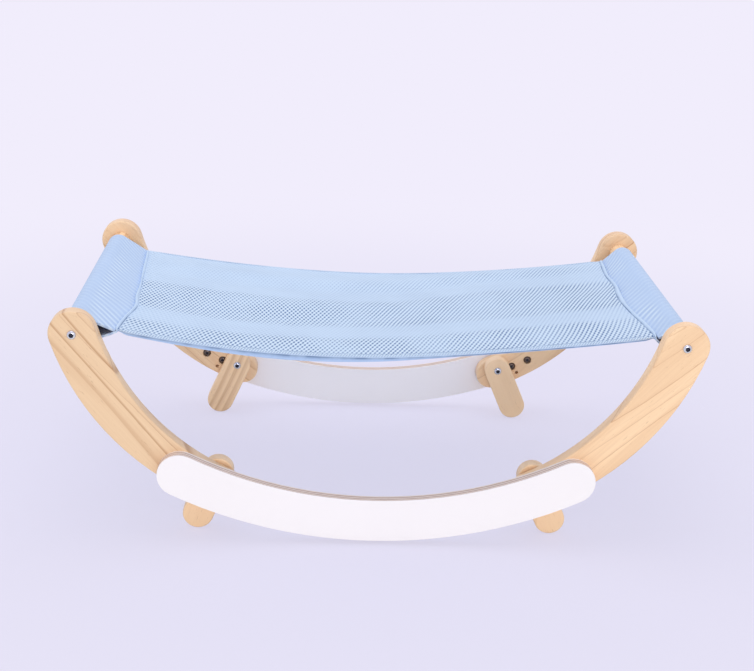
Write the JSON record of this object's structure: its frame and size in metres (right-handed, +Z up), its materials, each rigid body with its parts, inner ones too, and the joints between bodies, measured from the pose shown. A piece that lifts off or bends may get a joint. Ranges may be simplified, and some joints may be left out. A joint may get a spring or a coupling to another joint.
{
  "type": "cat hammock",
  "caption": "Low cat hammock: a sagging blue mesh bed on two dowels between two bent pine rocker frames with white curved panels and splayed fold-up feet.",
  "frame": {"origin": "middle of the footprint on the floor, below the centre of the bed", "axes": "+X along the length from the left dowel to the right dowel, +Y from the front panel to the back panel, +Z up"},
  "size_m": [0.683, 0.415, 0.2495],
  "materials": {
    "plywood": "satin",
    "white_face": "satin",
    "pine_arm": "satin",
    "pine_foot": "satin",
    "pine_dowel": "satin",
    "pad": "matte",
    "catch_steel": "satin",
    "mesh_cloth": "matte",
    "edge_cloth": "matte",
    "insert_steel": "satin",
    "bolt_steel": "polished"
  },
  "bodies": {
    "frame": {"front_panel": "plywood", "back_panel": "plywood", "front_panel_face": "white_face", "back_panel_face": "white_face", "front_panel_lining": "white_face", "back_panel_lining": "white_face", "front_left_arm": "pine_arm", "front_right_arm": "pine_arm", "back_left_arm": "pine_arm", "back_right_arm": "pine_arm", "left_dowel": "pine_dowel", "right_dowel": "pine_dowel", "dowel_bolts": "bolt_steel", "dowel_inserts": "insert_steel", "panel_bolts": "bolt_steel", "panel_inserts": "insert_steel", "pivot_bolts": "bolt_steel", "pivot_washers": "bolt_steel", "bed": "mesh_cloth", "left_sleeve": "mesh_cloth", "right_sleeve": "mesh_cloth", "front_hem": "edge_cloth", "back_hem": "edge_cloth", "left_seam": "edge_cloth", "right_seam": "edge_cloth"},
    "front_left_leg": {"front_left_foot": "pine_foot", "front_left_pad": "pad", "front_left_catch": "catch_steel"},
    "front_right_leg": {"front_right_foot": "pine_foot", "front_right_pad": "pad", "front_right_catch": "catch_steel"},
    "back_left_leg": {"back_left_foot": "pine_foot", "back_left_pad": "pad", "back_left_catch": "catch_steel"},
    "back_right_leg": {"back_right_foot": "pine_foot", "back_right_pad": "pad", "back_right_catch": "catch_steel"}
  },
  "joints": [
    {"name": "front_left_foot_hinge", "type": "hinge", "parent": "frame", "child": "front_left_leg", "pos_m": [-0.1695, -0.1689, 0.066], "axis": [0, 1, 0], "range_deg": [0, 88]},
    {"name": "front_right_foot_hinge", "type": "hinge", "parent": "frame", "child": "front_right_leg", "pos_m": [0.1695, -0.1689, 0.066], "axis": [0, -1, 0], "range_deg": [0, 88]},
    {"name": "back_left_foot_hinge", "type": "hinge", "parent": "frame", "child": "back_left_leg", "pos_m": [-0.1695, 0.1689, 0.066], "axis": [0, 1, 0], "range_deg": [0, 88]},
    {"name": "back_right_foot_hinge", "type": "hinge", "parent": "frame", "child": "back_right_leg", "pos_m": [0.1695, 0.1689, 0.066], "axis": [0, -1, 0], "range_deg": [0, 88]}
  ]
}
